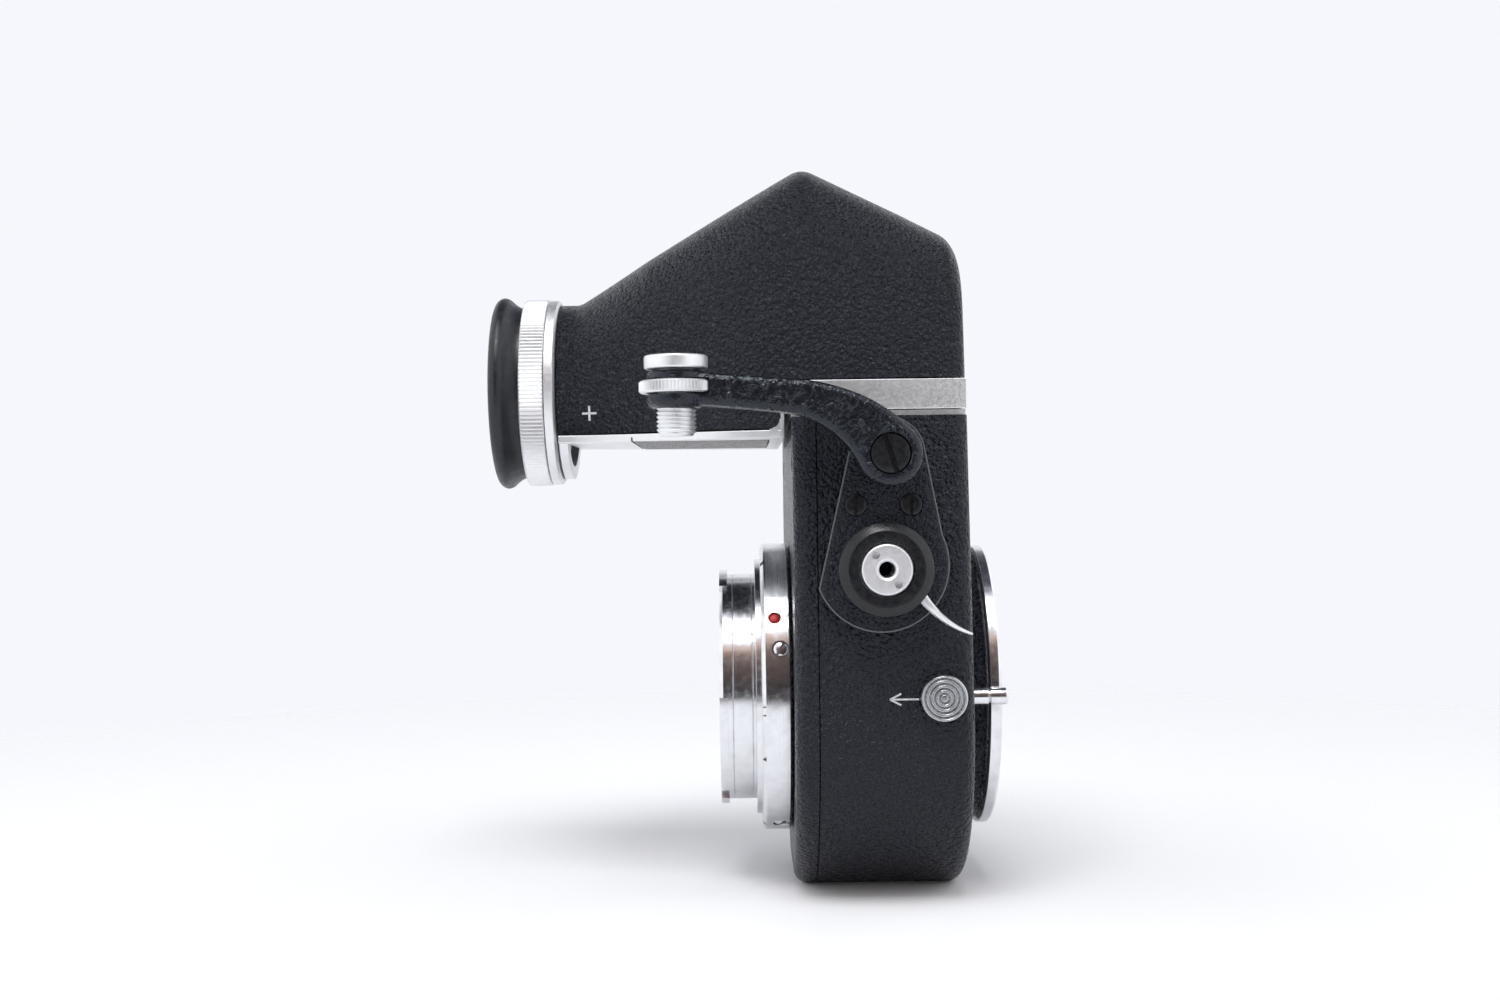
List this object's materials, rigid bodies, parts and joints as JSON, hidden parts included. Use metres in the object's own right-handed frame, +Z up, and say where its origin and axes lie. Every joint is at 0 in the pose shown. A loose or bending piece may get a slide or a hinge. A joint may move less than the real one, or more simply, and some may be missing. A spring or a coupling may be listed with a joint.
{
  "type": "camera mirror reflex housing with prism finder",
  "caption": "Mirror reflex housing that fits between a rangefinder camera and a long lens, with a release arm and a slide-on 90 degree prism finder.",
  "frame": {"origin": "centre of the flat foot under the housing", "axes": "+X along the lens axis towards the lens, -X towards the camera and the eye, -Y out of the side with the release arm, +Z up to the prism"},
  "size_m": [0.0895, 0.083, 0.1289],
  "materials": {
    "black_enamel": "black wrinkle enamel",
    "black_metal": "smooth black lacquer",
    "matte_black": "dead matt black paint",
    "satin_chrome": "satin chrome",
    "bright_chrome": "polished chrome",
    "spring_steel": "bare steel",
    "brass": "bare brass",
    "glass": "polished optical glass",
    "mirror_silver": "front-silvered mirror",
    "ground_glass": "ground glass",
    "red_enamel": "red enamel fill",
    "black_plastic": "matte black moulding"
  },
  "bodies": {
    "housing": {"body_casting": "black_enamel", "rear_cover": "black_enamel", "rear_cover_screw_1": "black_metal", "rear_cover_screw_2": "black_metal", "rear_cover_screw_3": "black_metal", "rear_cover_screw_4": "black_metal", "mirror_chamber": "matte_black", "camera_flange_ring": "bright_chrome", "flange_index_dot": "red_enamel", "flange_side_screw": "bright_chrome", "camera_bayonet": "bright_chrome", "lens_flange_ring": "bright_chrome", "lens_flange_screw_1": "bright_chrome", "lens_flange_screw_2": "bright_chrome", "lens_flange_screw_3": "bright_chrome", "lens_flange_screw_4": "bright_chrome", "bayonet_spring": "spring_steel", "mirror_stop": "brass", "mechanism_cover": "black_enamel", "mechanism_screw_1": "black_metal", "mechanism_screw_2": "black_metal", "cable_socket": "satin_chrome", "lens_lock_spring": "spring_steel", "arm_return_spring": "spring_steel", "top_rail_plate": "satin_chrome", "focusing_screen": "ground_glass", "screen_frame": "matte_black"},
    "mirror": {"mirror_glass": "mirror_silver", "mirror_holder": "matte_black", "mirror_shaft": "spring_steel", "mirror_crank": "spring_steel", "mirror_return_spring": "spring_steel"},
    "arm": {"release_arm": "black_metal", "arm_pivot_screw": "black_metal", "arm_shaft": "spring_steel", "trip_lever": "spring_steel"},
    "wheel": {"adjusting_wheel": "satin_chrome"},
    "plunger": {"plunger_spindle": "satin_chrome", "plunger_head": "satin_chrome"},
    "mode": {"mode_lever": "satin_chrome", "mode_collar": "black_metal"},
    "lens_lock": {"lens_lock_button": "satin_chrome", "lens_lock_slide": "black_metal", "lens_lock_pin": "bright_chrome"},
    "finder": {"finder_cover": "black_enamel", "finder_base": "satin_chrome", "base_pad": "black_enamel", "detent_spring": "spring_steel", "prism": "glass", "prism_seat": "matte_black", "field_lens": "glass", "eyepiece_collar": "satin_chrome"},
    "diopter": {"diopter_ring": "satin_chrome"},
    "ocular": {"ocular_cell": "black_metal", "eye_lens": "glass", "collective_lens": "glass", "lens_spacer": "matte_black", "lens_retaining_ring": "black_metal", "eyecup": "black_plastic"}
  },
  "joints": [
    {"name": "arm_press", "type": "hinge", "parent": "housing", "child": "arm", "pos_m": [0.00131, -0.041, 0.07617], "axis": [0, -1, 0], "range_deg": [0, 6.5], "stiffness_Nm_per_rad": 0.4, "springref_deg": -8.59},
    {"name": "mirror_flip", "type": "hinge", "parent": "housing", "child": "mirror", "pos_m": [-0.0106, 0, 0.0495], "axis": [0, -1, 0], "range_deg": [0, 45]},
    {"name": "wheel_turn", "type": "hinge", "parent": "arm", "child": "wheel", "pos_m": [-0.0331, -0.041, 0.0874], "axis": [0, 0, 1], "range_deg": [0, 720]},
    {"name": "plunger_travel", "type": "slide", "parent": "arm", "child": "plunger", "axis": [0, 0, 1], "range_m": [0, 0.0014]},
    {"name": "mode_turn", "type": "hinge", "parent": "housing", "child": "mode", "pos_m": [0.00067, -0.039, 0.0574], "axis": [0, -1, 0], "range_deg": [-25, 35]},
    {"name": "lens_lock_slide", "type": "slide", "parent": "housing", "child": "lens_lock", "axis": [-1, 0, 0], "range_m": [0, 0.0026], "stiffness_N_per_m": 300, "springref_m": -0.003, "deforming": ["lens_lock_spring"]},
    {"name": "finder_slide", "type": "slide", "parent": "housing", "child": "finder", "axis": [-1, 0, 0], "range_m": [0, 0.034]},
    {"name": "diopter_turn", "type": "hinge", "parent": "finder", "child": "diopter", "pos_m": [-0.0597, 0, 0.08955], "axis": [1, 0, 0], "range_deg": [-60, 60]},
    {"name": "ocular_travel", "type": "slide", "parent": "finder", "child": "ocular", "axis": [1, 0, 0], "range_m": [-0.0012, 0.0012]}
  ],
  "couplings": [
    {"joint": "mirror_flip", "follows": "arm_press", "ratio": 6.923},
    {"joint": "wheel_turn", "follows": "plunger_travel", "rad_per_m": 8976},
    {"joint": "ocular_travel", "follows": "diopter_turn", "m_per_rad": 0.001145}
  ]
}
